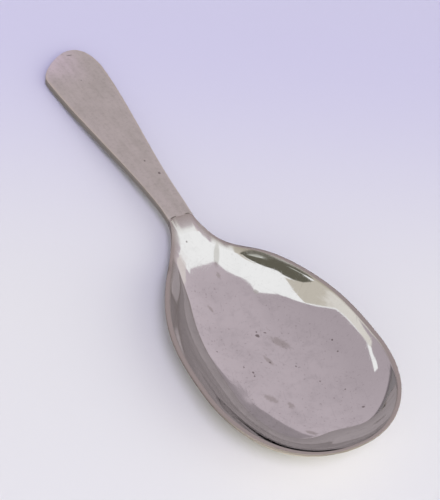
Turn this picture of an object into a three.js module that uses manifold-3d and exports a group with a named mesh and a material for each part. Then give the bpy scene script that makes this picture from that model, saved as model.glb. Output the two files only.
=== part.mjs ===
// Caddy spoon: an egg-shaped, flat-floored bowl and a flat handle, joined by hard solder at the neck.
// Millimetres, +Z up, lying as it rests on a table: on the bowl's base and the handle's end.
// The shape is drawn in the spoon's own frame, with x from the handle to the bowl's tip, x = 0 at the
// bowl's widest place and z = 0 at the rim there, and is tilted to its resting pose at the end.
import * as THREE from "three";
import { mergeVertices, toCreasedNormals } from "three/addons/utils/BufferGeometryUtils.js";
import Module from "manifold-3d";

// Bowl
const BOWL_WIDTH = 29.2;
const TIP_REACH = 16.7; // widest place to the tip
const NECK_REACH = 32.9; // widest place back to the neck
const BOWL_DEPTH = 6.3;
const TIP_FULLNESS = 2.2; // exponent of the rim's curve round the tip
const WALL_FULLNESS = 3.2; // exponent of the floor's rise across to the walls
const TIP_WALL_FULLNESS = 3; // exponent of the floor's rise towards the tip
const FLARE = [2.7, 1.77]; // exponents of the rim's spread from the neck
const RAMP = [3.2, 1.6]; // exponents of the floor's slope down from the neck
const SHEET = 0.75;
const RIM_WIDTH = 0.85;
const RIM_EDGE = 0.35;
const TIP_DROP = 0.65; // how far the rim falls towards the tip
const SHOULDER_DIP = 1.9; // how far the rim dips at the shoulders
const SHOULDER_FROM_NECK = 5.8;
const SHOULDER_SPREAD = 4.5;

// Handle
const HANDLE_LENGTH = 42.5; // neck to end
const NECK_WIDTH = 4.1;
const HANDLE_WIDTH = 10.4;
const WIDENING_LENGTH = 39.7; // length over which it widens
const END_ROUND = 6.2; // length of the rounded end
const END_FULLNESS = 2.2; // exponent of the end's curve
const END_SLANT = 0.45; // how much the filed end leans to one side
const HANDLE_RISE = 0.4;
const HANDLE_EDGE = 1.05; // height of its side
const HANDLE_THICKNESS = 1.35;
const NECK_BLEND = 13; // length over which the neck's thickness runs out

// Joint: the bowl's neck butts against the handle, whose heel laps under it
const SOLDER = 0.15;
const BUTT_DEPTH = 1.15; // thickness of the bowl's neck
const HEEL_REACH = 9; // neck to the heel's toe
const HEEL_DEPTH = 0.85;
const HEEL_SLOPE = 0.32; // how steeply it follows the bowl down

// Resting flats
const WEAR = 0.1; // depth worn off the base where it stands

// Steps of the mesh
const TIP_STEPS = 11;
const SIDE_STEPS = 24;
const NECK_STEPS = 5;
const RINGS = [0.16, 0.32, 0.46, 0.58, 0.68, 0.76, 0.83, 0.89, 0.94, 0.975];
const HANDLE_STEPS = 26;
const END_STEPS = 9;
const ACROSS_STEPS = 8;
const HEEL_STEPS = 16;
const WELD = 1e-4; // distance under which two corners are one
const CREASE = Math.PI / 6; // angle past which an edge is drawn sharp

// Search for the tilt at rest, in degrees
const STEEPEST_TILT = 45;
const TILT_HALVINGS = 30;

const TONGUE = 3; // raw length of the bowl behind the neck, cut away at the joint

const wasm = await Module();
wasm.setup();

const NECK_X = -NECK_REACH;
const END_X = NECK_X - HANDLE_LENGTH;
const SLOPE_STEP = 0.01; // step over which a line's slope is taken
const CUT_REACH = HANDLE_LENGTH + NECK_REACH + TIP_REACH; // reach of a cutting plate past the spoon

function ease(t) {
  return THREE.MathUtils.smoothstep(t, 0, 1);
}

function swell(t, [outer, inner]) {
  return (1 - (1 - t) ** outer) ** inner;
}

// Share of the way from the neck, 0, to the bowl's widest place, 1.
function fromNeck(x) {
  return THREE.MathUtils.clamp((x - NECK_X) / NECK_REACH, 0, 1);
}

function handleHalfWidth(x) {
  const t = ease((NECK_X - x) / WIDENING_LENGTH);
  return (NECK_WIDTH + (HANDLE_WIDTH - NECK_WIDTH) * t) / 2;
}

// Half the spoon's width behind the bowl's widest place.
function halfWidth(x) {
  const stem = handleHalfWidth(x);
  return stem + (BOWL_WIDTH / 2 - stem) * swell(fromNeck(x), FLARE);
}

// A point of the rim's line round the tip, from the tip at 0 to the widest place at 1.
function tipPoint(share, inset) {
  const angle = (share * Math.PI) / 2;
  const power = 2 / TIP_FULLNESS;
  const x = (TIP_REACH - inset) * Math.cos(angle) ** power;
  const y = (BOWL_WIDTH / 2 - inset) * Math.sin(angle) ** power;
  return new THREE.Vector2(share === 1 ? 0 : x, y);
}

// A point of the rim's line behind the widest place, moved inwards square to the line.
function sidePoint(x, inset) {
  const slope = (halfWidth(x + SLOPE_STEP) - halfWidth(x - SLOPE_STEP)) / (2 * SLOPE_STEP);
  const square = Math.hypot(1, slope);
  const shift = x < 0 ? inset / square : inset;
  return new THREE.Vector2(x < 0 ? x + shift * slope : 0, halfWidth(x) - shift);
}

// Half the width inside the rim, for the floor's rise across.
function innerHalfWidth(x) {
  if (x > 0) {
    const reach = Math.min(x / (TIP_REACH - RIM_WIDTH), 1);
    return (BOWL_WIDTH / 2 - RIM_WIDTH) * (1 - reach ** TIP_FULLNESS) ** (1 / TIP_FULLNESS);
  }
  const slope = (halfWidth(x) - halfWidth(x - SLOPE_STEP)) / SLOPE_STEP;
  return halfWidth(x) - RIM_WIDTH * Math.hypot(1, slope);
}

function outerHalfWidth(x) {
  if (x <= 0) return halfWidth(x);
  const reach = Math.min(x / TIP_REACH, 1);
  return (BOWL_WIDTH / 2) * (1 - reach ** TIP_FULLNESS) ** (1 / TIP_FULLNESS);
}

function handleZ(x) {
  return HANDLE_RISE * ease((NECK_X - x) / HANDLE_LENGTH);
}

function rimZ(x) {
  const off = (x - NECK_X - SHOULDER_FROM_NECK) / SHOULDER_SPREAD;
  const tip = TIP_DROP * (Math.max(x, 0) / TIP_REACH) ** 2;
  return handleZ(x) - SHOULDER_DIP * Math.exp(-off * off) - tip;
}

// Height of the upper face along the middle.
function middleZ(x) {
  if (x < NECK_X) return handleZ(x);
  if (x <= 0) return -BOWL_DEPTH * swell(fromNeck(x), RAMP);
  const climb = Math.min(x / (TIP_REACH - RIM_WIDTH), 1) ** TIP_WALL_FULLNESS;
  return -BOWL_DEPTH * (1 - climb) - TIP_DROP * climb;
}

function bowlThickness(x) {
  return BUTT_DEPTH + (SHEET - BUTT_DEPTH) * ease((x - NECK_X) / NECK_BLEND);
}

function handleThickness(x) {
  const extra = BUTT_DEPTH + HEEL_DEPTH - HANDLE_THICKNESS;
  return HANDLE_THICKNESS + extra * ease(1 - (NECK_X - x) / NECK_BLEND);
}

function edgeHeight(x) {
  const t = ease((x - NECK_X) / NECK_BLEND);
  return HANDLE_EDGE + (RIM_EDGE - HANDLE_EDGE) * t;
}

function across(y, half) {
  return half > 0 ? Math.min(Math.abs(y) / half, 1) ** WALL_FULLNESS : 1;
}

function topZ(x, y) {
  const middle = middleZ(x);
  return middle + (rimZ(x) - middle) * across(y, innerHalfWidth(x));
}

function bottomZ(x, y, thickness) {
  const middle = middleZ(x) - thickness;
  return middle + (rimZ(x) - edgeHeight(x) - middle) * across(y, outerHalfWidth(x));
}

function bowlUnderZ(x, y) {
  return bottomZ(x, y, bowlThickness(x));
}

// Rings of equal count, each joined to the next, with a middle point closing each end.
function closedRings(rings, first, last) {
  const points = [first, ...rings.flat(), last];
  const count = rings[0].length;
  const index = [];
  const at = (ring, i) => 1 + ring * count + (i % count);
  for (let i = 0; i < count; i += 1) {
    index.push(0, at(0, i), at(0, i + 1));
    index.push(points.length - 1, at(rings.length - 1, i + 1), at(rings.length - 1, i));
  }
  for (let ring = 0; ring + 1 < rings.length; ring += 1) {
    for (let i = 0; i < count; i += 1) {
      index.push(at(ring, i), at(ring + 1, i), at(ring + 1, i + 1));
      index.push(at(ring, i), at(ring + 1, i + 1), at(ring, i + 1));
    }
  }
  const geometry = new THREE.BufferGeometry().setFromPoints(points);
  geometry.setIndex(index);
  return geometry;
}

function solidOf(geometry) {
  const bare = geometry.clone();
  bare.deleteAttribute("normal");
  bare.deleteAttribute("uv");
  const merged = mergeVertices(bare, WELD);
  const triVerts = new Uint32Array(merged.index.array);
  const vertProperties = new Float32Array(merged.attributes.position.array);
  const solid = new wasm.Manifold(new wasm.Mesh({ numProp: 3, vertProperties, triVerts }));
  if (solid.volume() > 0) return solid;
  triVerts.reverse();
  return new wasm.Manifold(new wasm.Mesh({ numProp: 3, vertProperties, triVerts }));
}

function geometryOf(solid) {
  const mesh = solid.getMesh();
  const geometry = new THREE.BufferGeometry();
  geometry.setAttribute("position", new THREE.BufferAttribute(mesh.vertProperties, 3));
  geometry.setIndex(new THREE.BufferAttribute(mesh.triVerts, 1));
  return toCreasedNormals(geometry, CREASE);
}

// The line round the bowl and its raw tongue, from the tip back along one side and round to the other.
function bowlLoop(inset, tongue) {
  const half = [];
  for (let i = 0; i < TIP_STEPS; i += 1) half.push(tipPoint(i / TIP_STEPS, inset));
  for (let i = 0; i < SIDE_STEPS; i += 1) {
    half.push(sidePoint(NECK_X * (i / SIDE_STEPS), inset));
  }
  const end = NECK_X - tongue;
  const corner = sidePoint(end, inset);
  half.push(sidePoint(NECK_X, inset));
  for (let i = 0; i < NECK_STEPS; i += 1) {
    half.push(new THREE.Vector2(end, corner.y * (1 - i / NECK_STEPS)));
  }
  const back = half.slice(1).reverse();
  const mirrored = back.map((point) => new THREE.Vector2(point.x, -point.y));
  return [...half, new THREE.Vector2(end, 0), ...mirrored];
}

function rawBowl() {
  const centreX = (TIP_REACH - NECK_REACH) / 4;
  const ring = (loop, share, height) =>
    loop.map(({ x, y }) => {
      const px = centreX + (x - centreX) * share;
      return new THREE.Vector3(px, y * share, height(px, y * share));
    });
  const inner = bowlLoop(RIM_WIDTH, TONGUE - RIM_WIDTH);
  const outer = bowlLoop(0, TONGUE);
  const rings = [
    ...RINGS.map((share) => ring(inner, share, topZ)),
    ring(inner, 1, rimZ),
    ring(outer, 1, rimZ),
    ring(outer, 1, (x) => rimZ(x) - edgeHeight(x)),
    ...[...RINGS].reverse().map((share) => ring(outer, share, bowlUnderZ)),
  ];
  const top = new THREE.Vector3(centreX, 0, topZ(centreX, 0));
  const bottom = new THREE.Vector3(centreX, 0, bowlUnderZ(centreX, 0));
  return solidOf(closedRings(rings, top, bottom));
}

// One cross-section of the handle: the upper face, the two sides and the crowned underside.
function handleSection(x, roundness) {
  const half = handleHalfWidth(x) * Math.sqrt(1 - roundness ** END_FULLNESS);
  const section = [];
  for (let i = 0; i <= ACROSS_STEPS; i += 1) {
    const y = half * (1 - (2 * i) / ACROSS_STEPS);
    section.push(new THREE.Vector3(x - END_SLANT * y * roundness, y, topZ(x, y)));
  }
  for (let i = 0; i <= ACROSS_STEPS; i += 1) {
    const y = -half * (1 - (2 * i) / ACROSS_STEPS);
    const z = bottomZ(x, y, handleThickness(x));
    section.push(new THREE.Vector3(x - END_SLANT * y * roundness, y, z));
  }
  return section;
}

function rawHandle() {
  const rings = [];
  const roundX = END_X + END_ROUND;
  const front = NECK_X + SOLDER;
  for (let i = 1; i <= END_STEPS; i += 1) {
    const roundness = Math.cos((i / END_STEPS) * (Math.PI / 2));
    rings.push(handleSection(roundX - END_ROUND * roundness, roundness));
  }
  for (let i = 1; i <= HANDLE_STEPS; i += 1) {
    rings.push(handleSection(roundX + (front - roundX) * (i / HANDLE_STEPS), 0));
  }
  const middle = (x) => new THREE.Vector3(x, 0, topZ(x, 0) - handleThickness(x) / 2);
  return solidOf(closedRings(rings, middle(END_X), middle(front)));
}

// The heel, drawn as the front half of a long drop; the joint's cuts shape its upper face.
function rawHeel() {
  const drop = new THREE.SphereGeometry(1, HEEL_STEPS, HEEL_STEPS);
  drop.rotateZ(Math.PI / 2);
  drop.scale(HEEL_REACH * Math.hypot(1, HEEL_SLOPE), NECK_WIDTH / 2, HEEL_DEPTH);
  drop.rotateY(Math.atan(HEEL_SLOPE)).translate(NECK_X, 0, -BUTT_DEPTH);
  return solidOf(drop).intersect(inFrontOf(NECK_X));
}

// A thick plate whose side view, in x and z, is a box between two opposite corners.
function plate(fromX, fromZ, toX, toZ) {
  const geometry = new THREE.BoxGeometry(toX - fromX, CUT_REACH, toZ - fromZ);
  return solidOf(geometry.translate((fromX + toX) / 2, 0, (fromZ + toZ) / 2));
}

function inFrontOf(x) {
  return plate(x, -CUT_REACH, x + CUT_REACH, CUT_REACH);
}

function lowest(solid) {
  return solid.boundingBox().min[2];
}

// The angle at which the bowl's base and the handle's end both touch the table.
function restTilt(bowl, handle) {
  let low = 0;
  let high = STEEPEST_TILT;
  for (let i = 0; i < TILT_HALVINGS; i += 1) {
    const middle = (low + high) / 2;
    const tilt = [0, -middle, 0];
    const handleIsHigher = lowest(handle.rotate(tilt)) > lowest(bowl.rotate(tilt));
    if (handleIsHigher) low = middle;
    else high = middle;
  }
  return low;
}

const stem = rawHandle().add(rawHeel());
const raised = rawBowl();
const bowl = raised.intersect(inFrontOf(NECK_X + SOLDER));
const bowlAndSolder = raised.add(raised.translate([0, 0, -SOLDER])).intersect(inFrontOf(NECK_X));
const pieces = {
  bowl,
  handle: stem.subtract(bowlAndSolder),
  solder_seam: stem.intersect(bowlAndSolder).subtract(bowl),
};

const tilt = restTilt(pieces.bowl, pieces.handle);
const lying = Object.fromEntries(
  Object.entries(pieces).map(([name, solid]) => [name, solid.rotate([0, -tilt, 0])]),
);
const boxes = Object.values(lying).map((solid) => solid.boundingBox());
const middleX = (Math.min(...boxes.map((b) => b.min[0])) + Math.max(...boxes.map((b) => b.max[0]))) / 2;
const tableZ = lowest(lying.bowl) + WEAR;
const underTable = plate(-CUT_REACH, -CUT_REACH, CUT_REACH, 0);

const POLISHED = { color: 0xbdb3b6, roughness: 0.12, metalness: 1 };
const SATIN = { color: 0xa89e9f, roughness: 0.38, metalness: 1 };
const SOLDERED = { color: 0xb5aca6, roughness: 0.45, metalness: 1 };
const finishes = { bowl: POLISHED, handle: SATIN, solder_seam: SOLDERED };

const spoon = new THREE.Group();
spoon.name = "caddy_spoon";
for (const [name, solid] of Object.entries(lying)) {
  const resting = solid.translate([-middleX, 0, -tableZ]).subtract(underTable);
  const mesh = new THREE.Mesh(geometryOf(resting), new THREE.MeshStandardMaterial(finishes[name]));
  mesh.name = name;
  spoon.add(mesh);
}

export default spoon;
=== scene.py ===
import math

import bmesh
import bpy
from bpy.props import FloatProperty, FloatVectorProperty, IntProperty, PointerProperty
from mathutils import Matrix, Vector


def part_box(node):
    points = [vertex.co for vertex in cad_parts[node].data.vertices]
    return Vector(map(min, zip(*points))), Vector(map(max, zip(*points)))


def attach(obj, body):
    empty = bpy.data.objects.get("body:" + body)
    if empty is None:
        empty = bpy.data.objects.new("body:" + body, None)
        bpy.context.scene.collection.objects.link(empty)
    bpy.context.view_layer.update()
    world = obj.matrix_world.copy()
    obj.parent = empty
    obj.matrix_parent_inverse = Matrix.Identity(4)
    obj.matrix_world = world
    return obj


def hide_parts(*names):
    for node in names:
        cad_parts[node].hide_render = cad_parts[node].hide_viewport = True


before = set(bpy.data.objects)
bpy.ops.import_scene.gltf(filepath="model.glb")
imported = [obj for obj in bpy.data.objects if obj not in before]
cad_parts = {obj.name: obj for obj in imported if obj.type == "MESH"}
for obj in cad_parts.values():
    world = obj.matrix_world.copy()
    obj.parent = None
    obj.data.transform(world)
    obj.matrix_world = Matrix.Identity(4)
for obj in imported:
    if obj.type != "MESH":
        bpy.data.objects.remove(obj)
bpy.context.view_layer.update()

bl_info = {
    "name": "Caddy Spoon",
    "version": (1, 0, 0),
    "blender": (4, 5, 0),
    "location": "3D View > Sidebar > Spoon",
    "description": "A silver caddy spoon, made piece by piece over its solid model",
    "category": "Add Mesh",
}

MM = 0.001
# A length too small to see
HAIR = 0.01 * MM


def length(name, description, default):
    """A size given in millimetres and held in metres."""
    return FloatProperty(
        name=name, description=description, default=default * MM, unit="LENGTH", precision=5,
    )


def power(name, description, default):
    return FloatProperty(name=name, description=description, default=default, min=0.1)


def amount(name, description, default):
    return FloatProperty(
        name=name, description=description, default=default, min=0.0, subtype="FACTOR",
    )


def level(name, description, default):
    return FloatProperty(name=name, description=description, default=default, min=0.0)


def colour(name, description, default):
    return FloatVectorProperty(
        name=name, description=description, default=default, size=3, subtype="COLOR",
    )


# Sizes: the solids' own, but for a finer rim, a deeper slope, a leaning wall and a fuller end


class BowlSettings(bpy.types.PropertyGroup):
    width: length("Width", "Across the rim at its widest", 29.2)
    tip_reach: length("Tip reach", "From the widest place to the tip", 16.7)
    neck_reach: length("Neck reach", "From the widest place back to the neck", 32.9)
    depth: length("Depth", "From the rim down to the floor", 6.3)
    tip_fullness: power("Tip fullness", "Exponent of the rim's curve round the tip", 2.2)
    wall_fullness: power("Wall fullness", "Exponent of the floor's rise to the sides", 3.2)
    tip_wall_fullness: power(
        "Tip wall fullness", "Exponent of the floor's rise to the tip", 3.0)
    flare_outer: power("Flare, outer", "Outer exponent of the rim's spread", 2.7)
    flare_inner: power("Flare, inner", "Inner exponent of the rim's spread", 1.77)
    ramp_outer: power("Ramp, outer", "Outer exponent of the floor's slope", 3.2)
    ramp_inner: power("Ramp, inner", "Inner exponent of the underside's slope", 1.6)
    ramp_top: power("Ramp, inner, top", "Inner exponent of the floor's slope", 1.3)
    neck_flat: length(
        "Flat of the neck", "Length from the neck over which the walls grow round", 15.0)
    lean_from: amount(
        "Lean from", "Share of the near side's width beyond which its wall runs straight", 0.84)
    lean_start: amount(
        "Lean start", "Share of the flat of the neck after which the near wall leans out", 0.1)
    lean_more: amount(
        "Lean at the tip", "How much more the near wall leans out at the tip's corner", 0.5)
    sheet: length("Sheet", "Thickness of the silver", 0.75)
    rim_width: length("Rim width", "Width of the flat filed rim", 0.62)
    rim_tip: amount("Rim at the tip", "Share of the rim's width that it has at the tip", 0.6)
    rim_neck: amount("Rim at the neck", "Share of the rim's width that it has there", 0.45)
    rim_blend: length("Rim blend", "Length from the neck over which the rim widens", 11.0)
    rim_edge: length("Rim edge", "Height of the rim's outer edge", 0.35)
    tip_drop: length("Tip drop", "How far the rim falls towards the tip", 0.65)
    shoulder_dip: length("Shoulder dip", "How far the rim dips at the shoulders", 1.9)
    shoulder_from_neck: length("Shoulder place", "From the neck to the dip", 5.8)
    shoulder_spread: length("Shoulder spread", "Reach of the dip", 4.5)
    butt_depth: length("Neck thickness", "Thickness of the bowl's neck", 1.15)
    solder: length("Solder", "Thickness of the solder film", 0.15)
    rim_round: length("Rim rounding", "Radius on the rim's worn edges", 0.15)
    rounds: IntProperty(
        name="Steps round", description="Steps round the bowl", default=480, min=48,
    )
    rings: IntProperty(
        name="Rings", description="Rings from the middle to the rim", default=44, min=8,
    )


class HandleSettings(bpy.types.PropertyGroup):
    length: length("Length", "From the neck to the end", 42.5)
    neck_width: length("Neck width", "Width at the neck", 4.1)
    width: length("Width", "Width near the end", 10.4)
    widening: length("Widening", "Length over which it widens", 39.7)
    end_round: length("End length", "Length of the rounded end", 6.2)
    end_fullness: power("End fullness", "Exponent of the end's curve", 2.35)
    end_slant: power("End slant", "How much the filed end leans to one side", 0.5)
    rise: length("Rise", "How far the end stands above the neck", 0.4)
    edge: length("Edge", "Height of its side", 1.05)
    thickness: length("Thickness", "Thickness along the middle", 1.35)
    neck_blend: length(
        "Neck blend", "Length over which the neck's thickness runs out", 13.0)
    heel_reach: length("Heel reach", "From the neck to the heel's toe", 9.0)
    heel_depth: length("Heel depth", "Depth of the heel at the neck", 0.85)
    heel_slope: power("Heel slope", "How steeply the heel follows the bowl down", 0.32)
    worn_edge: length("Worn edge", "Radius on its worn edges", 0.16)


class FinishSettings(bpy.types.PropertyGroup):
    silver: colour("Silver", "Colour of the bright silver", (0.675, 0.663, 0.66))
    tarnish: colour("Tarnish", "Colour of the dull specks", (0.2, 0.175, 0.17))
    worn_silver: colour("Worn silver", "Colour of the matt silver", (0.63, 0.6, 0.575))
    solder: colour("Solder", "Colour of the filed solder", (0.63, 0.595, 0.57))
    stain: colour("Stain", "Colour of the faint smears", (0.4, 0.38, 0.35))
    rim: colour("Rim", "Colour of the rim, dulled by handling", (0.455, 0.425, 0.39))
    # The grime colour is also painted shade: mixed into the handle's sides, it darkens them as
    # shade would
    grime_and_side_shade: colour("Grime", "Colour of the handle's sides", (0.26, 0.25, 0.22))
    # A painted highlight: the lighter colour towards the handle's end
    handle_end_highlight: colour(
        "Handle end", "Colour of the handle's brighter end", (0.8, 0.73, 0.78))
    # The worn edge colour is partly wear and partly a painted highlight along the handle's top
    # edges
    worn_edge: colour(
        "Worn edge", "Colour of the handle's rubbed edges", (0.72, 0.66, 0.58))
    bowl_roughness: amount("Bowl roughness", "Roughness of the polished bowl", 0.045)
    handle_roughness: amount("Handle roughness", "Roughness of the matt handle", 0.42)
    solder_roughness: amount("Solder roughness", "Roughness of the filed solder", 0.35)
    scratch_depth: length("Scratch depth", "Depth of the fine scratches", 0.004)
    grain_depth: length("Grain depth", "Depth of the matt grain", 0.01)
    bowl_bump: amount("Bowl bump", "Strength of the bowl's scratches", 0.16)
    handle_bump: amount("Handle bump", "Strength of the handle's grain", 0.35)
    solder_bump: amount("Solder bump", "Strength of the solder's grain", 0.4)
    wall_wear: amount("Wall wear", "Share of the floor's wear that the walls show", 0.3)


class StudioSettings(bpy.types.PropertyGroup):
    lens: FloatProperty(
        name="Lens", description="Focal length", default=121.378, unit="CAMERA",
    )
    camera_place: FloatVectorProperty(
        name="Camera place", description="Where the camera stands", size=3,
        subtype="TRANSLATION", unit="LENGTH", precision=5,
        default=(0.140919, -0.108466, 0.186657),
    )
    camera_turn: FloatVectorProperty(
        name="Camera turn", description="How the camera is turned", size=3,
        subtype="EULER", precision=5,
        default=(math.radians(42.9878), math.radians(-9.9309), math.radians(61.2725)),
    )
    near_floor: colour("Near floor", "Colour of the floor by the camera", (0.807, 0.807, 0.807))
    far_floor: colour("Far floor", "Colour of the floor beyond", (0.66, 0.642, 0.82))
    floor_roughness: amount("Floor roughness", "Roughness of the floor", 0.8)
    floor_gloss: amount("Floor gloss", "How much the floor itself reflects", 0.1)
    # Floor tones that only reflections see: painted shade beside and behind the bowl, and a darker,
    # warmer painted tone before the tip
    mirrored_floor: colour(
        "Mirrored floor", "Colour of the floor before the tip, mirrored", (0.66, 0.6, 0.5))
    mirrored_side_shade: colour(
        "Mirrored side", "Colour of the floor beside the bowl, mirrored", (0.36, 0.31, 0.27))
    mirrored_back_shade: colour(
        "Mirrored back", "Colour of the floor behind the bowl, mirrored", (0.32, 0.3, 0.295))
    fill: colour(
        "Fill light", "Colour of the soft light from the bright side", (0.956, 0.956, 0.73))
    low_fill: colour(
        "Low fill", "Colour of the weak light from all round", (0.62, 0.58, 1.0))
    fill_level: level("Fill level", "Level of the light from the bright side", 2.6)
    low_level: level("Low level", "Level of the weak light from all round", 0.24)
    room: colour("Room", "Colour of the room that the silver reflects", (0.44, 0.385, 0.42))
    deep_room: colour(
        "Deep room", "Colour of the room in a second reflection", (0.43, 0.388, 0.405))
    mirrored: level("Mirrored", "Level of what the silver reflects", 1.42)
    room_turn: level("Room turn", "How much brighter the room grows along Y", 0.22)
    skirting: amount("Skirting", "How much darker the room is close to the floor", 0.6)
    card: colour("White card", "Colour of the bright cards", (0.85, 0.865, 0.87))
    warm_card: colour(
        "Warm card", "Colour of the pale card low down in front", (0.52, 0.49, 0.43))
    pale_card: colour("Pale card", "Colour of the warm card's far part", (0.68, 0.66, 0.62))
    shade_card: colour("Shade card", "Colour of the small dark card", (0.11, 0.105, 0.08))
    side_card: colour("Side card", "Colour of the strip at the far side", (0.64, 0.59, 0.58))
    sliver_card: colour(
        "Sliver card", "Colour of the narrow card by the dark one", (0.45, 0.46, 0.42))
    dim_card: colour("Dim card", "Colour of the low card behind", (0.285, 0.25, 0.27))
    key: colour("Key colour", "Colour of the key light", (0.74, 0.71, 0.95))
    key_power: FloatProperty(
        name="Key light", description="Power of the soft key light", default=3.9, unit="POWER",
    )
    key_size: length("Key size", "Width of the key light", 300.0)
    key_place: FloatVectorProperty(
        name="Key place", description="Where the key light hangs", size=3,
        subtype="TRANSLATION", unit="LENGTH", precision=5, default=(0.447, -0.258, 0.737),
    )


# Shape


# Shares of the half outline that the tip's curve and the neck's end take up
TIP_TURN = 0.3
NECK_TURN = 0.05
# How far the spoon leans forward as it lies, and the angle from which an edge stays crisp
REST_TILT = math.radians(5.17585)
SHARP = math.radians(50)


def ease(t):
    t = min(max(t, 0.0), 1.0)
    return t * t * (3 - 2 * t)


def swell(t, outer, inner):
    return (1 - (1 - t) ** outer) ** inner


class Form:
    """The spoon's lines and heights, with x from the handle to the tip and z = 0 at the rim."""

    def __init__(self, bowl, handle):
        self.bowl = bowl
        self.handle = handle
        self.neck = -bowl.neck_reach
        self.face = self.neck + bowl.solder

    def from_neck(self, x):
        return min(max((x - self.neck) / self.bowl.neck_reach, 0.0), 1.0)

    def stem(self, x):
        handle = self.handle
        spread = ease((self.neck - x) / handle.widening)
        return (handle.neck_width + (handle.width - handle.neck_width) * spread) / 2

    def half_width(self, x):
        stem = self.stem(x)
        spread = swell(self.from_neck(x), self.bowl.flare_outer, self.bowl.flare_inner)
        return stem + (self.bowl.width / 2 - stem) * spread

    def slope(self, x):
        return (self.half_width(x) - self.half_width(x - HAIR)) / HAIR

    def tip_half(self, x, inset):
        bowl = self.bowl
        reach = min(x / (bowl.tip_reach - inset * bowl.rim_tip), 1.0)
        return (bowl.width / 2 - inset) * (1 - reach**bowl.tip_fullness) ** (1 / bowl.tip_fullness)

    def rim_share(self, x):
        """How much of its full width the rim has at x, behind the widest place."""
        neck = self.bowl.rim_neck
        return neck + (1 - neck) * ease((x - self.neck) / self.bowl.rim_blend)

    def inner_half(self, x):
        if x > 0:
            return self.tip_half(x, self.bowl.rim_width)
        rim = self.bowl.rim_width * self.rim_share(x)
        return self.half_width(x) - rim * math.hypot(1, self.slope(x))

    def outer_half(self, x):
        return self.tip_half(x, 0.0) if x > 0 else self.half_width(x)

    def handle_z(self, x):
        return self.handle.rise * ease((self.neck - x) / self.handle.length)

    def rim_z(self, x):
        bowl = self.bowl
        off = (x - self.neck - bowl.shoulder_from_neck) / bowl.shoulder_spread
        tip = bowl.tip_drop * (max(x, 0.0) / bowl.tip_reach) ** 2
        return self.handle_z(x) - bowl.shoulder_dip * math.exp(-off * off) - tip

    def middle_z(self, x, ramp):
        bowl = self.bowl
        if x < self.neck:
            return self.handle_z(x)
        if x <= 0:
            return -bowl.depth * swell(self.from_neck(x), bowl.ramp_outer, ramp)
        reach = bowl.tip_reach - bowl.rim_width * bowl.rim_tip
        climb = min(x / reach, 1.0) ** bowl.tip_wall_fullness
        return -bowl.depth * (1 - climb) - bowl.tip_drop * climb

    def across(self, y, half, fullness):
        return min(abs(y) / half, 1.0) ** fullness if half > 0 else 1.0

    def top_z(self, x, y):
        """The upper face: flatter across the neck, and leaning out on the near side."""
        bowl = self.bowl
        past = (x - self.neck) / bowl.neck_flat
        fullness = bowl.wall_fullness * (2 - ease(past))
        middle = self.middle_z(x, bowl.ramp_top)
        share = self.across(y, self.inner_half(x), 1.0)
        corner = 1 + bowl.lean_more * ease(2 * x / bowl.tip_reach)
        lean = (1 - bowl.lean_from) * ease(past - bowl.lean_start) * corner
        bend = 1 - lean if y < 0 else 1.0
        climb = self.leaning(share, bend, fullness) / self.leaning(1.0, bend, fullness)
        return middle + (self.rim_z(x) - middle) * climb

    def leaning(self, share, bend, fullness):
        """A power curve that runs on straight beyond the bend."""
        if share < bend:
            return share**fullness
        return bend**fullness + fullness * bend ** (fullness - 1) * (share - bend)

    def edge_height(self, x):
        edge = self.handle.edge
        return edge + (self.bowl.rim_edge - edge) * ease((x - self.neck) / self.handle.neck_blend)

    def under_z(self, x, y, thickness):
        middle = self.middle_z(x, self.bowl.ramp_inner) - thickness
        edge = self.rim_z(x) - self.edge_height(x)
        share = self.across(y, self.outer_half(x), self.bowl.wall_fullness)
        return middle + (edge - middle) * share

    def bowl_under(self, x, y):
        bowl = self.bowl
        t = ease((x - self.neck) / self.handle.neck_blend)
        return self.under_z(x, y, bowl.butt_depth + (bowl.sheet - bowl.butt_depth) * t)

    def handle_under(self, x, y):
        handle = self.handle
        extra = self.bowl.butt_depth + handle.heel_depth - handle.thickness
        t = ease(1 - (self.neck - x) / handle.neck_blend)
        return self.under_z(x, y, handle.thickness + extra * t)

    def rim_line(self, turn, inset):
        """A point of the bowl's outline, from the tip at 0 to the middle of its neck at 1."""
        bowl = self.bowl
        if turn < TIP_TURN:
            angle = turn / TIP_TURN * math.pi / 2
            exponent = 2 / bowl.tip_fullness
            x = (bowl.tip_reach - inset * bowl.rim_tip) * math.cos(angle) ** exponent
            return x, (bowl.width / 2 - inset) * math.sin(angle) ** exponent
        side = min((turn - TIP_TURN) / (1 - TIP_TURN - NECK_TURN), 1.0)
        x = (self.face + inset * self.rim_share(self.face)) * side
        inset *= self.rim_share(x)
        slope = self.slope(x)
        shift = inset / math.hypot(1, slope)
        if turn < 1 - NECK_TURN:
            return x + shift * slope, self.half_width(x) - shift
        return x, (self.half_width(x) - shift) * (1 - turn) / NECK_TURN

    def rest(self, mesh):
        """Lays the mesh down as the solids lie, on the bowl's base and the handle's end."""
        tip = Vector((self.bowl.tip_reach, 0, self.rim_z(self.bowl.tip_reach)))
        low_tip = tip - Vector((0, 0, self.edge_height(tip.x)))
        turn = Matrix.Rotation(-REST_TILT, 4, "Y")
        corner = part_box("bowl")[1]
        shift = Vector((corner.x - (turn @ low_tip).x, 0, corner.z - (turn @ tip).z))
        bmesh.ops.transform(mesh, matrix=Matrix.Translation(shift) @ turn, verts=mesh.verts)
        for vert in mesh.verts:
            vert.co.z = max(vert.co.z, 0.0)


def form():
    scene = bpy.context.scene
    return Form(scene.spoon_bowl, scene.spoon_handle)


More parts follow.
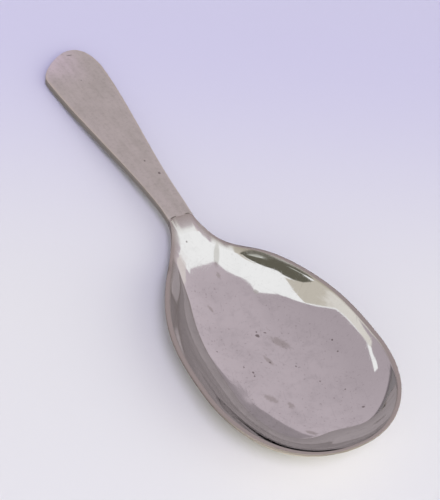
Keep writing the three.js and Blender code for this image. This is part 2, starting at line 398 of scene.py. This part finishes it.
def finished(mesh, name, node, material):
    """Turns the mesh into a smooth piece that stands for a node."""
    bmesh.ops.recalc_face_normals(mesh, faces=mesh.faces)
    data = bpy.data.meshes.new(name)
    mesh.to_mesh(data)
    mesh.free()
    data.shade_smooth()
    data.set_sharp_from_angle(angle=SHARP)
    data.materials.append(material)
    piece = bpy.data.objects.new(name, data)
    bpy.context.scene.collection.objects.link(piece)
    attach(piece, "root")
    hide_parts(node)
    return piece


# Shaders


# Marks in millimetres: x, y, half length, half width and turn in degrees
PITS = (
    (19.2, 1.8, 0.34, 0.26, 20), (18.5, 2.0, 0.14, 0.12, 0), (19.1, 3.1, 0.2, 0.12, 60),
    (25.6, 10.3, 0.14, 0.1, 0), (27.7, 10.0, 0.12, 0.1, 0), (23.8, -3.2, 0.16, 0.1, 0),
    (25.2, -2.4, 0.2, 0.14, 0), (25.9, -2.6, 0.16, 0.12, 0), (24.4, 0.9, 0.16, 0.12, 0),
    (26.6, 4.0, 0.16, 0.12, 0), (20.0, -5.6, 0.14, 0.1, 0), (1.0, -1.0, 0.16, 0.12, 0),
    (38.2, 7.7, 0.2, 0.14, 30), (30.6, 5.6, 0.12, 0.1, 0), (33.8, 7.7, 0.12, 0.1, 0),
)
SMEARS = (
    (21.7, 4.2, 1.6, 0.62, 28), (30.6, -2.6, 1.1, 0.5, 35), (32.8, -0.6, 0.6, 0.4, 0),
    (24.0, 0.9, 1.0, 0.3, 10), (12.4, -2.5, 0.7, 0.22, 10), (12.2, 5.3, 0.5, 0.25, 20),
    (7.4, 1.4, 0.5, 0.3, 0), (38.8, -1.1, 0.8, 0.35, 40),
)
WEDGE = ((4.3, 2.6, 1.9, 0.42, -27),)
HANDLE_PITS = (
    (-13.1, 1.5, 0.26, 0.2, 0), (-16.5, 0.7, 0.2, 0.14, 0), (-38.2, 0.2, 0.12, 0.1, 0),
    (-45.0, 1.3, 0.5, 0.12, 80),
)

# Scratches: the turn of each set, and the level from which its noise shows
SCRATCHES = ((0.35, 0.64), (1.1, 0.66), (-0.5, 0.65), (-1.25, 0.67))
SCRATCH_FADE = 0.03

# Edges of the marks: how ragged and how soft
PIT_EDGE = (1.4, 0.35)
SMEAR_EDGE = (1.6, 0.45)
WEDGE_EDGE = (0.5, 0.3)
HANDLE_PIT_EDGE = (1.2, 0.35)

# Noise: grains in a millimetre, detail and roughness
RAGGED = (2.5, 3.0, 0.6)
CLOUD = (0.16, 4.0, 0.6)
SMEAR = (0.6, 5.0, 0.65)
SPECK = (2.2, 2.0, 0.5)
SCRATCH = (1.0, 2.0, 0.6)
HANDLE_GRAIN = (1.0, 3.0, 0.7)
HANDLE_CLOUD = (0.22, 4.0, 0.6)
HANDLE_STREAK = (1.0, 3.0, 0.6)
HANDLE_SPECK = (1.6, 3.0, 0.6)
SOLDER_GRAIN = (3.0, 3.0, 0.7)

# Stretch of a noise: longer marks along an axis below 1, finer ones above it, none at 0
FLAT = (1.0, 1.0, 0.0)
SCRATCH_STRETCH = (0.2, 4.0, 0.0)
GRAIN_STRETCH = (0.25, 5.0, 5.0)
STREAK_STRETCH = (0.12, 0.7, 0.0)
STREAK_TURN = -0.05

# Levels of a noise between which the wear comes in
GRIT = (0.62, 0.69)
GRIT_PATCH = (0.35, 0.55)
CLOUDED = (0.4, 0.65)
SMEARED = (0.48, 0.7)
HANDLE_CLOUDED = (0.35, 0.7)
HANDLE_SPECKED = (0.45, 0.7)
HANDLE_STREAKED = (0.4, 0.7)

# Where the painted highlight on the handle's end fades out, in millimetres along X and across it
END_HIGHLIGHT_ALONG = (-45.0, -36.0)
END_HIGHLIGHT_ACROSS = (-1.0, 4.0)

# Shares of their tone that worn silver and filed solder keep
WORN_TONE = 0.85
FILED_TONE = 0.9

# The colour sockets of a Mix node, which share their names with others
COLOUR_A = 6
COLOUR_B = 7
COLOUR_OUT = 2


class Wire:
    """The output of a shader node, as a term of an expression."""

    def __init__(self, bench, socket):
        self.bench = bench
        self.socket = socket

    def maths(self, operation, *terms):
        sockets = dict(enumerate(terms))
        return self.bench.node("ShaderNodeMath", {"operation": operation}, sockets)["Value"]

    def __add__(self, other):
        return self.maths("ADD", self, other)

    def __radd__(self, other):
        return self.maths("ADD", other, self)

    def __sub__(self, other):
        return self.maths("SUBTRACT", self, other)

    def __rsub__(self, other):
        return self.maths("SUBTRACT", other, self)

    def __mul__(self, other):
        return self.maths("MULTIPLY", self, other)

    def __truediv__(self, other):
        return self.maths("DIVIDE", self, other)

    def least(self, other):
        return self.maths("MINIMUM", self, other)

    def most(self, other):
        return self.maths("MAXIMUM", self, other)

    def __gt__(self, other):
        return self.maths("GREATER_THAN", self, other)


class Made:
    """A shader node whose outputs are taken by name or number."""

    def __init__(self, bench, node):
        self.bench = bench
        self.raw = node

    def __getitem__(self, name):
        return Wire(self.bench, self.raw.outputs[name])


class Bench:
    """Where the nodes of one material or world are put together."""

    def __init__(self, owner):
        owner.use_nodes = True
        self.tree = owner.node_tree
        self.tree.nodes.clear()

    def node(self, kind, settings=None, sockets=None):
        made = self.tree.nodes.new(kind)
        for name, value in (settings or {}).items():
            setattr(made, name, value)
        for name, value in (sockets or {}).items():
            socket = made.inputs[name]
            if isinstance(value, Wire):
                self.tree.links.new(value.socket, socket)
            else:
                socket.default_value = value
        return Made(self, made)

    def place(self, turn=0.0, stretch=(1.0, 1.0, 1.0)):
        """The place on the piece in millimetres, turned about Z and stretched."""
        place = self.node("ShaderNodeTexCoord")["Object"]
        scale = tuple(s / MM for s in stretch)
        sockets = {"Vector": place, "Rotation": (0, 0, turn)}
        turned = self.node("ShaderNodeMapping", None, sockets)["Vector"]
        return self.node("ShaderNodeMapping", None, {"Vector": turned, "Scale": scale})["Vector"]

    def noise(self, place, scale, detail, roughness):
        sockets = {"Vector": place, "Scale": scale, "Detail": detail, "Roughness": roughness}
        return self.node("ShaderNodeTexNoise", None, sockets)["Fac"]

    def step(self, value, low, high):
        """0 below low, 1 above high, and eased between."""
        settings = {"interpolation_type": "SMOOTHSTEP"}
        sockets = {"Value": value, "From Min": low, "From Max": high}
        return self.node("ShaderNodeMapRange", settings, sockets)["Result"]

    def mix(self, share, first, second):
        """From the first colour at 0 to the second at 1."""
        first, second = (c if isinstance(c, Wire) else (*c, 1.0) for c in (first, second))
        sockets = {"Factor": share, COLOUR_A: first, COLOUR_B: second}
        made = self.node("ShaderNodeMix", {"data_type": "RGBA"}, sockets)
        return made[COLOUR_OUT]

    def attribute(self, name):
        return self.node("ShaderNodeAttribute", {"attribute_name": name})["Fac"]

    def marks(self, place, marks, noise, ragged, soft):
        """1 inside the oval marks and 0 outside, with edges made ragged by the noise."""
        nearest = None
        for x, y, long, wide, turn in marks:
            sockets = {
                "Vector": place,
                "Location": (x, y, 0.0),
                "Rotation": (0.0, 0.0, math.radians(turn)),
                "Scale": (long, wide, 1.0),
            }
            local = self.node("ShaderNodeMapping", {"vector_type": "TEXTURE"}, sockets)["Vector"]
            away = self.node("ShaderNodeVectorMath", {"operation": "LENGTH"}, {0: local})["Value"]
            nearest = nearest.least(away) if nearest else away
        return 1 - self.step(nearest + noise * ragged, 1 - soft, 1 + soft)

    def surface(self, shader):
        self.node("ShaderNodeOutputMaterial", None, {"Surface": shader})

    def metal(self, tone, roughness, height, distance, strength):
        """Metal with a fine relief, as the material's surface."""
        sockets = {"Height": height, "Distance": distance, "Strength": strength}
        bump = self.node("ShaderNodeBump", None, sockets)["Normal"]
        sockets = {"Base Color": tone, "Metallic": 1.0, "Roughness": roughness, "Normal": bump}
        self.surface(self.node("ShaderNodeBsdfPrincipled", None, sockets)["BSDF"])


def silver_material():
    """Polished silver: soft wear, fine scratches, small pits and dull specks."""
    finish = bpy.context.scene.spoon_finish
    material = bpy.data.materials.new("polished_silver")
    bench = Bench(material)
    flat = bench.place(stretch=FLAT)
    rim, upper, low = (bench.attribute(name) for name in ("rim", "upper", "low"))
    ragged = bench.noise(flat, *RAGGED) - 0.5
    cloud = bench.noise(flat, *CLOUD)
    smear = bench.noise(flat, *SMEAR)
    speck = bench.noise(flat, *SPECK)
    wear = finish.wall_wear + low * (1 - finish.wall_wear)
    grit = bench.step(speck, *GRIT) * bench.step(cloud, *GRIT_PATCH) * wear
    pit = grit * 0.35 + bench.marks(flat, PITS, ragged, *PIT_EDGE) * upper
    stain = bench.marks(flat, SMEARS, ragged, *SMEAR_EDGE) * upper
    wedge = bench.marks(flat, WEDGE, ragged, *WEDGE_EDGE) * upper
    scratches = 0.0
    for turn, pick in SCRATCHES:
        scratch = bench.noise(bench.place(turn, SCRATCH_STRETCH), *SCRATCH)
        scratches = bench.step(scratch, pick, pick + SCRATCH_FADE) + scratches
    dull = (bench.step(cloud, *CLOUDED) * 0.4 + bench.step(smear, *SMEARED) * 0.6) * wear
    worn = dull + scratches * wear * 0.5
    tone = bench.mix(worn, tuple(finish.silver), tuple(c * WORN_TONE for c in finish.silver))
    tone = bench.mix(stain * 0.6 + wedge * 0.6, tone, tuple(finish.stain))
    tone = bench.mix(pit * 0.85, tone, tuple(finish.tarnish))
    tone = bench.mix(rim, tone, tuple(finish.rim))
    fine = dull * 0.05 + scratches * 0.04 + stain * 0.1
    roughness = finish.bowl_roughness + fine + rim * 0.15
    height = (scratches * -0.6 + pit * -3.0 + smear * 0.6) * (1 - rim * 0.8)
    bench.metal(tone, roughness, height, finish.scratch_depth, finish.bowl_bump)
    return material


def worn_silver_material():
    """Matt silver, rubbed lengthwise, with its edges lighter as wear and painted highlight, its
    sides darker as painted shade and its end lighter as a painted highlight.
    """
    finish = bpy.context.scene.spoon_finish
    material = bpy.data.materials.new("satin_silver")
    bench = Bench(material)
    flat = bench.place(stretch=FLAT)
    parts = bench.node("ShaderNodeSeparateXYZ", None, {"Vector": flat})
    side, worn = bench.attribute("side"), bench.attribute("worn")
    grain = bench.noise(bench.place(stretch=GRAIN_STRETCH), *HANDLE_GRAIN)
    cloud = bench.noise(flat, *HANDLE_CLOUD)
    streak = bench.noise(bench.place(STREAK_TURN, STREAK_STRETCH), *HANDLE_STREAK)
    speck = bench.noise(flat, *HANDLE_SPECK)
    pit = bench.marks(flat, HANDLE_PITS, speck - 0.5, *HANDLE_PIT_EDGE)
    dull = bench.step(cloud, *HANDLE_CLOUDED) * 0.35 + bench.step(speck, *HANDLE_SPECKED) * 0.35
    dull = dull + bench.step(streak, *HANDLE_STREAKED) * 0.4
    # Painted highlight: lighter towards the handle's end
    end = (1 - bench.step(parts["X"], *END_HIGHLIGHT_ALONG)) * (1 - bench.step(parts["Y"], *END_HIGHLIGHT_ACROSS))
    tone = bench.mix(end, tuple(finish.worn_silver), tuple(finish.handle_end_highlight))
    tone = bench.mix(dull * 0.36, tone, tuple(finish.grime_and_side_shade))
    tone = bench.mix(pit * 0.8, tone, tuple(finish.tarnish))
    # Wear and painted highlight: the top edges are lightened towards the worn edge colour
    tone = bench.mix(worn * 0.7, tone, tuple(finish.worn_edge))
    # Painted shade: the handle's sides are darkened towards the grime colour
    tone = bench.mix(side * 0.3, tone, tuple(finish.grime_and_side_shade))
    roughness = finish.handle_roughness + dull * 0.12 + grain * 0.1
    height = grain * 1.0 + speck * 0.7 + pit * -3.0
    bench.metal(tone, roughness, height, finish.grain_depth, finish.handle_bump)
    return material


def solder_material():
    """Filed hard solder, a little warmer than the silver."""
    finish = bpy.context.scene.spoon_finish
    material = bpy.data.materials.new("silver_solder")
    bench = Bench(material)
    grain = bench.noise(bench.place(), *SOLDER_GRAIN)
    tone = bench.mix(grain, tuple(finish.solder), tuple(c * FILED_TONE for c in finish.solder))
    roughness = finish.solder_roughness + grain * 0.2
    bench.metal(tone, roughness, grain, finish.grain_depth, finish.solder_bump)
    return material


# Pieces


class SPOON_OT_bowl(bpy.types.Operator):
    """Raise the bowl from a round of sheet"""

    bl_idname = "spoon.bowl"
    bl_label = "Bowl"

    # Shares of the depth at which the wear sets in, and over which it grows
    LOW_FROM = 0.5
    LOW_OVER = 0.3
    # Steps of the rim's rounding, the room it needs, and how the rings crowd towards the rim
    ROUND_STEPS = 3
    ROUND_ROOM = 1.3
    CROWDING = 1.5

    def execute(self, context):
        bowl = context.scene.spoon_bowl
        shape = form()
        self.rings = {}
        mesh = bmesh.new()
        upper, rim, low = (mesh.verts.layers.float.new(name) for name in ("upper", "rim", "low"))
        top = self.round_of_sheet(mesh, bowl, bowl.rings + 1)
        under = self.round_of_sheet(mesh, bowl, bowl.rings)
        self.raise_sheet(top, bowl, shape, bowl.rim_width, shape.top_z)
        self.raise_sheet(under, bowl, shape, 0.0, shape.bowl_under)
        for vert in top:
            vert[upper] = 1.0
            vert[rim] = float(self.rings[vert] >= bowl.rings)
            vert[low] = ease((-vert.co.z / bowl.depth - self.LOW_FROM) / self.LOW_OVER)
        rims = [edge for edge in mesh.edges if edge.is_boundary]
        bmesh.ops.bridge_loops(mesh, edges=rims)
        lips = rims + self.ring_edges(top, bowl.rings)
        soft = [edge for edge in lips if not self.is_butt(edge, shape)]
        bmesh.ops.bevel(
            mesh, geom=soft, offset=bowl.rim_round, segments=self.ROUND_STEPS, profile=0.5,
            affect="EDGES", material=-1, clamp_overlap=True,
        )
        shape.rest(mesh)
        finished(mesh, "bowl_dressed", "bowl", silver_material())
        return {"FINISHED"}

    def is_butt(self, edge, shape):
        """Whether the edge lies in the neck's end, against the solder."""
        return all(vert.co.x < shape.face + shape.bowl.rim_width / 2 for vert in edge.verts)

    def round_of_sheet(self, mesh, bowl, rings):
        """A flat round, spun from one spoke, whose rings are a unit apart."""
        spoke = [mesh.verts.new((ring, 0, 0)) for ring in range(rings + 1)]
        edges = [mesh.edges.new(pair) for pair in zip(spoke, spoke[1:])]
        before = set(mesh.verts) - set(spoke)
        bmesh.ops.spin(
            mesh, geom=spoke + edges, cent=(0, 0, 0), axis=(0, 0, 1), angle=2 * math.pi,
            steps=bowl.rounds, use_merge=True, use_duplicate=False,
        )
        disc = [vert for vert in mesh.verts if vert not in before]
        middle = [vert for vert in disc if round(vert.co.length) == 0]
        bmesh.ops.remove_doubles(mesh, verts=middle, dist=0.1)
        return [vert for vert in disc if vert.is_valid]

    def raise_sheet(self, disc, bowl, shape, inset, height):
        """Draws the flat round out to the bowl's outline and gives it its height."""
        centre = (bowl.tip_reach - bowl.neck_reach) / 4
        for vert in disc:
            ring = round(vert.co.xy.length)
            turn = abs(math.atan2(vert.co.y, vert.co.x)) / math.pi
            side = math.copysign(1, vert.co.y)
            x, y = shape.rim_line(turn, 0.0 if ring > bowl.rings else inset)
            if ring < bowl.rings:
                reach = math.hypot(x - centre, y) if x > centre else max(y, shape.stem(shape.neck))
                gap = self.ROUND_ROOM * bowl.rim_round / reach
                share = (1 - (1 - ring / (bowl.rings - 1)) ** self.CROWDING) * (1 - gap)
                x, y = centre + (x - centre) * share, y * share
            self.rings[vert] = ring
            vert.co = (x, side * y, height(x, side * y))

    def ring_edges(self, disc, ring):
        found = {edge for vert in disc for edge in vert.link_edges}
        return [edge for edge in found if all(self.rings.get(vert) == ring for vert in edge.verts)]


class SPOON_OT_handle(bpy.types.Operator):
    """Forge the flat handle, with its heel drawn out under the neck"""

    bl_idname = "spoon.handle"
    bl_label = "Handle"

    # Steps along the handle, how many of them make its end, and steps across and along the heel
    LONG = 120
    END = 30
    WIDE = 20
    HEEL = 36
    # Shares of the height at which the rows lie, and the part of the block that the heel grows from
    ROWS = (0.0, 0.2, 0.42, 1.0)
    ROOT_TOP = 1 / 3
    # Shares of the heel's reach where its last step lies, and over which it takes its own shape
    HEEL_END = 0.995
    HEEL_BLEND = 0.25
    # What counts as lying along an axis, and as the block's outer face
    ALONG = 0.9
    OUTER = 0.99
    ROUND_FROM = math.radians(38)
    ROUND_STEPS = 4

    def execute(self, context):
        handle = context.scene.spoon_handle
        shape = form()
        mesh = bmesh.new()
        side, worn = (mesh.verts.layers.float.new(name) for name in ("side", "worn"))
        bmesh.ops.create_cube(mesh, size=2)
        for axis, cuts in ((0, self.LONG - 1), (1, self.WIDE - 1), (2, 2)):
            along = [edge for edge in mesh.edges if self.lies_along(edge, axis)]
            bmesh.ops.subdivide_edges(mesh, edges=along, cuts=cuts, use_grid_fill=True)
        face = [part for part in mesh.faces if part.normal.x > self.ALONG]
        root = [part for part in face if part.calc_center_median().z < self.ROOT_TOP]
        for vert in mesh.verts:
            row = self.row(vert.co.z)
            outer = abs(vert.co.y) > self.OUTER or vert.co.x < -self.OUTER
            # The side layer marks the side faces, which the satin material darkens as painted shade
            vert[side] = float(row in (1, 2))
            # The worn layer marks the top edges, lightened as wear and painted highlight
            vert[worn] = float(row == 3 and outer)
            vert.co = self.body_point(vert.co, handle, shape)
        self.draw_heel(mesh, root, handle, shape)
        body = [edge for edge in mesh.edges if self.is_body(edge, shape)]
        sharp = [edge for edge in body if edge.calc_face_angle(0) > self.ROUND_FROM]
        bmesh.ops.bevel(
            mesh, geom=sharp, offset=handle.worn_edge, segments=self.ROUND_STEPS, profile=0.5,
            affect="EDGES", material=-1, clamp_overlap=True,
        )
        shape.rest(mesh)
        finished(mesh, "handle_dressed", "handle", worn_silver_material())
        return {"FINISHED"}

    def lies_along(self, edge, axis):
        first, second = edge.verts
        return abs((first.co - second.co).normalized()[axis]) > self.ALONG

    def is_body(self, edge, shape):
        return all(vert.co.x < shape.neck - HAIR for vert in edge.verts)

    def row(self, z):
        """The row of a height from -1 to 1, counted from the underside."""
        return round((z + 1) / 2 * (len(self.ROWS) - 1))

    def body_point(self, place, handle, shape):
        """Where a point of the starting block lies on the handle."""
        step = round((place.x + 1) / 2 * self.LONG)
        round_x = shape.neck - handle.length + handle.end_round
        if step < self.END:
            roundness = math.cos((step + 1) / (self.END + 1) * math.pi / 2)
            x = round_x - handle.end_round * roundness
        else:
            roundness = 0.0
            x = round_x + (shape.neck - round_x) * (step - self.END) / (self.LONG - self.END)
        y = place.y * shape.stem(x) * math.sqrt(1 - roundness**handle.end_fullness)
        level = self.ROWS[self.row(place.z)]
        low, high = shape.handle_under(x, y), shape.top_z(x, y)
        return Vector((x - handle.end_slant * y * roundness, y, low + (high - low) * level))

    def draw_heel(self, mesh, root, handle, shape):
        """Draws the lower two rows of the neck's face out under the bowl."""
        for step in range(1, self.HEEL + 1):
            grown = bmesh.ops.extrude_face_region(mesh, geom=root)["geom"]
            bmesh.ops.delete(mesh, geom=root, context="FACES_ONLY")
            root = [part for part in grown if isinstance(part, bmesh.types.BMFace)]
            moved = {part for part in grown if isinstance(part, bmesh.types.BMVert)}
            reach = step / self.HEEL * self.HEEL_END
            x = shape.neck + handle.heel_reach * reach
            roundness = math.sqrt(1 - reach**2)
            half = handle.neck_width / 2 * roundness
            widest = max(abs(vert.co.y) for vert in moved)
            columns = {}
            for vert in moved:
                lane = round(vert.co.y / widest * self.WIDE / 2)
                columns.setdefault(lane, []).append(vert)
            for lane, column in columns.items():
                y = half * lane / (self.WIDE / 2)
                high = shape.bowl_under(x, y) - shape.bowl.solder
                sink = handle.heel_slope * (x - shape.neck)
                arch = math.sqrt(max(1 - (y / half) ** 2, 0))
                drawn = -shape.bowl.butt_depth - sink - handle.heel_depth * roundness * arch
                forged = shape.handle_under(shape.neck, y) - sink
                blend = ease(reach / self.HEEL_BLEND)
                low = min(forged + (drawn - forged) * blend, high - HAIR)
                column.sort(key=lambda vert: vert.co.z)
                for row, vert in enumerate(column):
                    vert.co = (x, y, low + (high - low) * row / max(len(column) - 1, 1))


class SPOON_OT_solder_seam(bpy.types.Operator):
    """Give the solder film at the neck its finish"""

    bl_idname = "spoon.solder_seam"
    bl_label = "Solder seam"

    def execute(self, context):
        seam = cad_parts["solder_seam"]
        if not seam.material_slots:
            raise RuntimeError("The solder seam has no material slot")
        material = solder_material()
        for slot in seam.material_slots:
            slot.material = material
        return {"FINISHED"}


# Studio


OVERHEAD = (
    (-0.18, 1.05), (-0.22, 0.8), (-0.15, 0.62), (-0.12, 0.5), (-0.11, 0.46), (-0.11, 0.41),
    (-0.16, 0.24), (-0.18, -0.03), (-0.18, -0.29), (-0.17, -0.5), (-0.17, -0.72), (-0.22, -0.86),
    (-0.3, -0.99), (-0.41, -1.19), (-0.55, -1.43), (-0.74, -1.79), (-1.01, -2.23), (-1.35, -2.43),
    (-1.66, -2.54), (-1.83, -2.64), (-1.8, -2.42), (-1.89, -2.26), (-2.01, -2.18), (-2.19, -2.09),
    (-2.47, -1.99), (-3.11, -2.67), (-2.74, -2.74), (-2.22, -2.6), (-2.1, -2.9), (-1.2, -4.5),
    (3.5, -6.5), (3.5, -5.5), (0.5, -1.6), (0.15, -0.8), (0.08, -0.4), (0.03, 0.0), (0.0, 0.35),
    (0.03, 0.55), (0.0, 1.05),
)
WARM = (
    (0.13, -1.87), (0.03, -1.69), (-0.16, -1.37), (-0.29, -1.24), (-0.38, -1.19), (-0.53, -1.49),
    (-0.74, -1.86), (-1.0, -2.3), (-1.35, -2.5), (-1.69, -2.62), (-1.8, -2.6), (-2.1, -2.75),
    (-2.3, -3.3), (-1.8, -5.5), (-0.25, -3.8), (-0.21, -3.19), (-0.04, -2.29), (0.07, -1.97),
)
SHADE = (
    (0.21, -2.03), (0.6, -2.5), (1.1, -3.9), (1.7, -6.0), (1.2, -6.2), (0.7, -4.1), (0.29, -3.35),
    (-0.05, -3.05), (-0.2, -2.99), (-0.09, -2.34), (0.06, -2.06),
)
DIM = (
    (-1.24, 1.52), (-1.22, 1.28), (-1.44, 1.23), (-2.05, 1.42), (-3.55, 2.08), (-7.2, 3.85),
    (-7.2, 8.5), (-2.6, 8.5), (-2.35, 4.44), (-2.1, 3.3), (-1.84, 2.61), (-1.48, 1.95),
)
SIDE = (
    (-0.07, 0.5), (0.02, 0.75), (-0.08, 1.1), (-1.0, 4.5), (-1.9, 7.9), (-2.5, 7.9), (-1.42, 4.5),
    (-0.66, 2.2), (-0.27, 1.1), (-0.14, 0.7),
)
SLIVER = ((0.1, -3.25), (0.42, -3.3), (0.62, -3.6), (0.64, -4.1), (0.3, -4.5), (0.05, -3.8))
FRONT = ((1.0, -0.35), (3.0, -1.2), (3.0, 0.45), (1.0, 0.12))

# Cards: name, height, outline in multiples of the height, near tone and far tone
CARDS = (
    ("overhead_card", 0.9, OVERHEAD, "card", "card"),
    ("warm_card", 0.6, WARM, "warm_card", "pale_card"),
    ("shade_card", 0.5, SHADE, "shade_card", "shade_card"),
    ("dim_card", 0.6, DIM, "dim_card", "dim_card"),
    ("side_card", 0.9, SIDE, "side_card", "side_card"),
    ("sliver_card", 0.49, SLIVER, "sliver_card", "sliver_card"),
    ("front_card", 0.5, FRONT, "card", "card"),
)

# Cards: where the near tone turns into the far one, the mottle's noise in a metre, and its strength
CARD_FADE = (0.3, 0.6)
CARD_MOTTLE = (7.0, 5.0, 0.7)
MOTTLED = 0.7

# The floor's half width, and where its colour turns from the far tone to the near one
FLOOR_REACH = 1.5
FLOOR_LEAN = 0.45
FLOOR_FADE = (-0.058, 0.02)

# Where the mirrored floor changes tone along X, from its painted shade behind and beside the bowl
# to its tone before the tip
BEHIND = (-0.01, 0.01)
BEFORE = (0.028, 0.042)

# Over which heights the room's dark foot fades out, and what tells a second reflection
HORIZON = (0.02, 0.045)
FIRST_BOUNCE = 1.5

# The camera's film in millimetres, and how near and far it sees in metres
FILM = 36
SIGHT = (0.01, 20)


class SPOON_OT_studio(bpy.types.Operator):
    """Set out the floor, the cards, the light and the camera"""

    bl_idname = "spoon.studio"
    bl_label = "Studio"

    def execute(self, context):
        studio = context.scene.spoon_studio
        context.scene.view_settings.view_transform = "Standard"
        self.make_floor(studio)
        self.make_world(context.scene, studio)
        self.make_cards(studio)
        self.make_key(studio)
        self.make_camera(context.scene, studio)
        return {"FINISHED"}

    def add(self, name, data):
        made = bpy.data.objects.new(name, data)
        bpy.context.scene.collection.objects.link(made)
        return made

    def sheet(self, name, corners, material):
        """A flat sheet of the stage."""
        mesh = bmesh.new()
        mesh.faces.new([mesh.verts.new(corner) for corner in corners])
        data = bpy.data.meshes.new(name)
        mesh.to_mesh(data)
        mesh.free()
        data.materials.append(material)
        made = self.add(name, data)
        return made

    def make_floor(self, studio):
        material = bpy.data.materials.new("pale_floor")
        bench = Bench(material)
        place = bench.node("ShaderNodeTexCoord")["Object"]
        parts = bench.node("ShaderNodeSeparateXYZ", None, {"Vector": place})
        near = bench.step(parts["X"] - parts["Y"] * FLOOR_LEAN, *FLOOR_FADE)
        tone = bench.mix(near, tuple(studio.far_floor), tuple(studio.near_floor))
        # Reflections see a painted floor: shade beside and behind the bowl, and a darker, warmer
        # tone before the tip
        beside = bench.step(parts["X"], *BEHIND)
        seen = bench.mix(beside, tuple(studio.mirrored_back_shade), tuple(studio.mirrored_side_shade))
        seen = bench.mix(bench.step(parts["X"], *BEFORE), seen, tuple(studio.mirrored_floor))
        mirrored = bench.node("ShaderNodeLightPath")["Is Glossy Ray"]
        tone = bench.mix(mirrored, tone, seen)
        sockets = {
            "Base Color": tone,
            "Roughness": studio.floor_roughness,
            "Specular IOR Level": studio.floor_gloss,
        }
        bench.surface(bench.node("ShaderNodeBsdfPrincipled", None, sockets)["BSDF"])
        signs = ((-1, -1), (1, -1), (1, 1), (-1, 1))
        self.sheet("floor", [(x * FLOOR_REACH, y * FLOOR_REACH, 0) for x, y in signs], material)

    def make_world(self, scene, studio):
        """Soft light that grows towards X, and the room that the silver reflects."""
        world = bpy.data.worlds.new("studio")
        scene.world = world
        bench = Bench(world)
        path = bench.node("ShaderNodeLightPath")
        way = bench.node("ShaderNodeTexCoord")["Generated"]
        part = bench.node("ShaderNodeSeparateXYZ", None, {"Vector": way})
        side = part["X"].most(0.0) * studio.fill_level
        soft = side + studio.low_level
        again = path["Glossy Depth"] > FIRST_BOUNCE
        room = bench.mix(again, tuple(studio.room), tuple(studio.deep_room))
        tone = bench.mix(side / soft, tuple(studio.low_fill), tuple(studio.fill))
        tone = bench.mix(path["Is Glossy Ray"], tone, room)
        tone = bench.mix(path["Is Camera Ray"], tone, tuple(studio.far_floor))
        low = 1 - bench.step(part["Z"], *HORIZON)
        mirrored = (studio.mirrored + part["Y"] * studio.room_turn) * (1 - low * studio.skirting)
        strength = soft + (mirrored - soft) * path["Is Glossy Ray"]
        sockets = {"Color": tone, "Strength": strength}
        back = bench.node("ShaderNodeBackground", None, sockets)["Background"]
        bench.node("ShaderNodeOutputWorld", None, {"Surface": back})

    def card_material(self, name, near, far, studio):
        """A glow that turns from one tone to another along X; a second reflection sees the room."""
        material = bpy.data.materials.new(name)
        bench = Bench(material)
        place = bench.node("ShaderNodeTexCoord")["Object"]
        along = bench.node("ShaderNodeSeparateXYZ", None, {"Vector": place})["X"]
        mottle = (bench.noise(place, *CARD_MOTTLE) - 0.5) * MOTTLED
        tone = bench.mix(bench.step(mottle - along, *CARD_FADE), tuple(near), tuple(far))
        again = bench.node("ShaderNodeLightPath")["Glossy Depth"] > FIRST_BOUNCE
        tone = bench.mix(again, tone, tuple(studio.deep_room))
        sockets = {"Color": tone, "Strength": studio.mirrored}
        bench.surface(bench.node("ShaderNodeEmission", None, sockets)["Emission"])
        return material

    def make_cards(self, studio):
        """Cards hung level over the spoon, which only its reflections show."""
        for name, height, outline, near, far in CARDS:
            tones = getattr(studio, near), getattr(studio, far)
            material = self.card_material(name, *tones, studio)
            corners = [(x * height, y * height, height) for x, y in outline]
            card = self.sheet(name, corners, material)
            card.visible_camera = False
            card.visible_diffuse = False
            card.visible_shadow = False

    def make_key(self, studio):
        data = bpy.data.lights.new("key", "AREA")
        data.energy = studio.key_power
        data.shape = "DISK"
        data.size = studio.key_size
        data.color = studio.key
        key = self.add("key", data)
        key.location = studio.key_place
        key.rotation_euler = (-key.location).to_track_quat("-Z", "Y").to_euler()
        key.visible_glossy = False
        key.visible_camera = False

    def make_camera(self, scene, studio):
        data = bpy.data.cameras.new("camera")
        data.lens = studio.lens
        data.sensor_width = FILM
        data.clip_start, data.clip_end = SIGHT
        camera = self.add("camera", data)
        camera.location = studio.camera_place
        camera.rotation_euler = studio.camera_turn
        scene.camera = camera


class SPOON_PT_panel(bpy.types.Panel):
    """Lists the spoon's pieces and its studio"""

    bl_idname = "SPOON_PT_panel"
    bl_label = "Caddy Spoon"
    bl_space_type = "VIEW_3D"
    bl_region_type = "UI"
    bl_category = "Spoon"

    def draw(self, context):
        for operator in OPERATORS:
            self.layout.operator(operator.bl_idname)


SETTINGS = {
    "spoon_bowl": BowlSettings,
    "spoon_handle": HandleSettings,
    "spoon_finish": FinishSettings,
    "spoon_studio": StudioSettings,
}
OPERATORS = (SPOON_OT_bowl, SPOON_OT_handle, SPOON_OT_solder_seam, SPOON_OT_studio)


def register():
    for name, group in SETTINGS.items():
        bpy.utils.register_class(group)
        setattr(bpy.types.Scene, name, PointerProperty(type=group))
    for operator in OPERATORS:
        bpy.utils.register_class(operator)
    bpy.utils.register_class(SPOON_PT_panel)


def unregister():
    bpy.utils.unregister_class(SPOON_PT_panel)
    for operator in reversed(OPERATORS):
        bpy.utils.unregister_class(operator)
    for name, group in SETTINGS.items():
        delattr(bpy.types.Scene, name)
        bpy.utils.unregister_class(group)


def main():
    register()
    bpy.ops.spoon.bowl()
    bpy.ops.spoon.handle()
    bpy.ops.spoon.solder_seam()
    bpy.ops.spoon.studio()


if __name__ == "__main__":
    main()
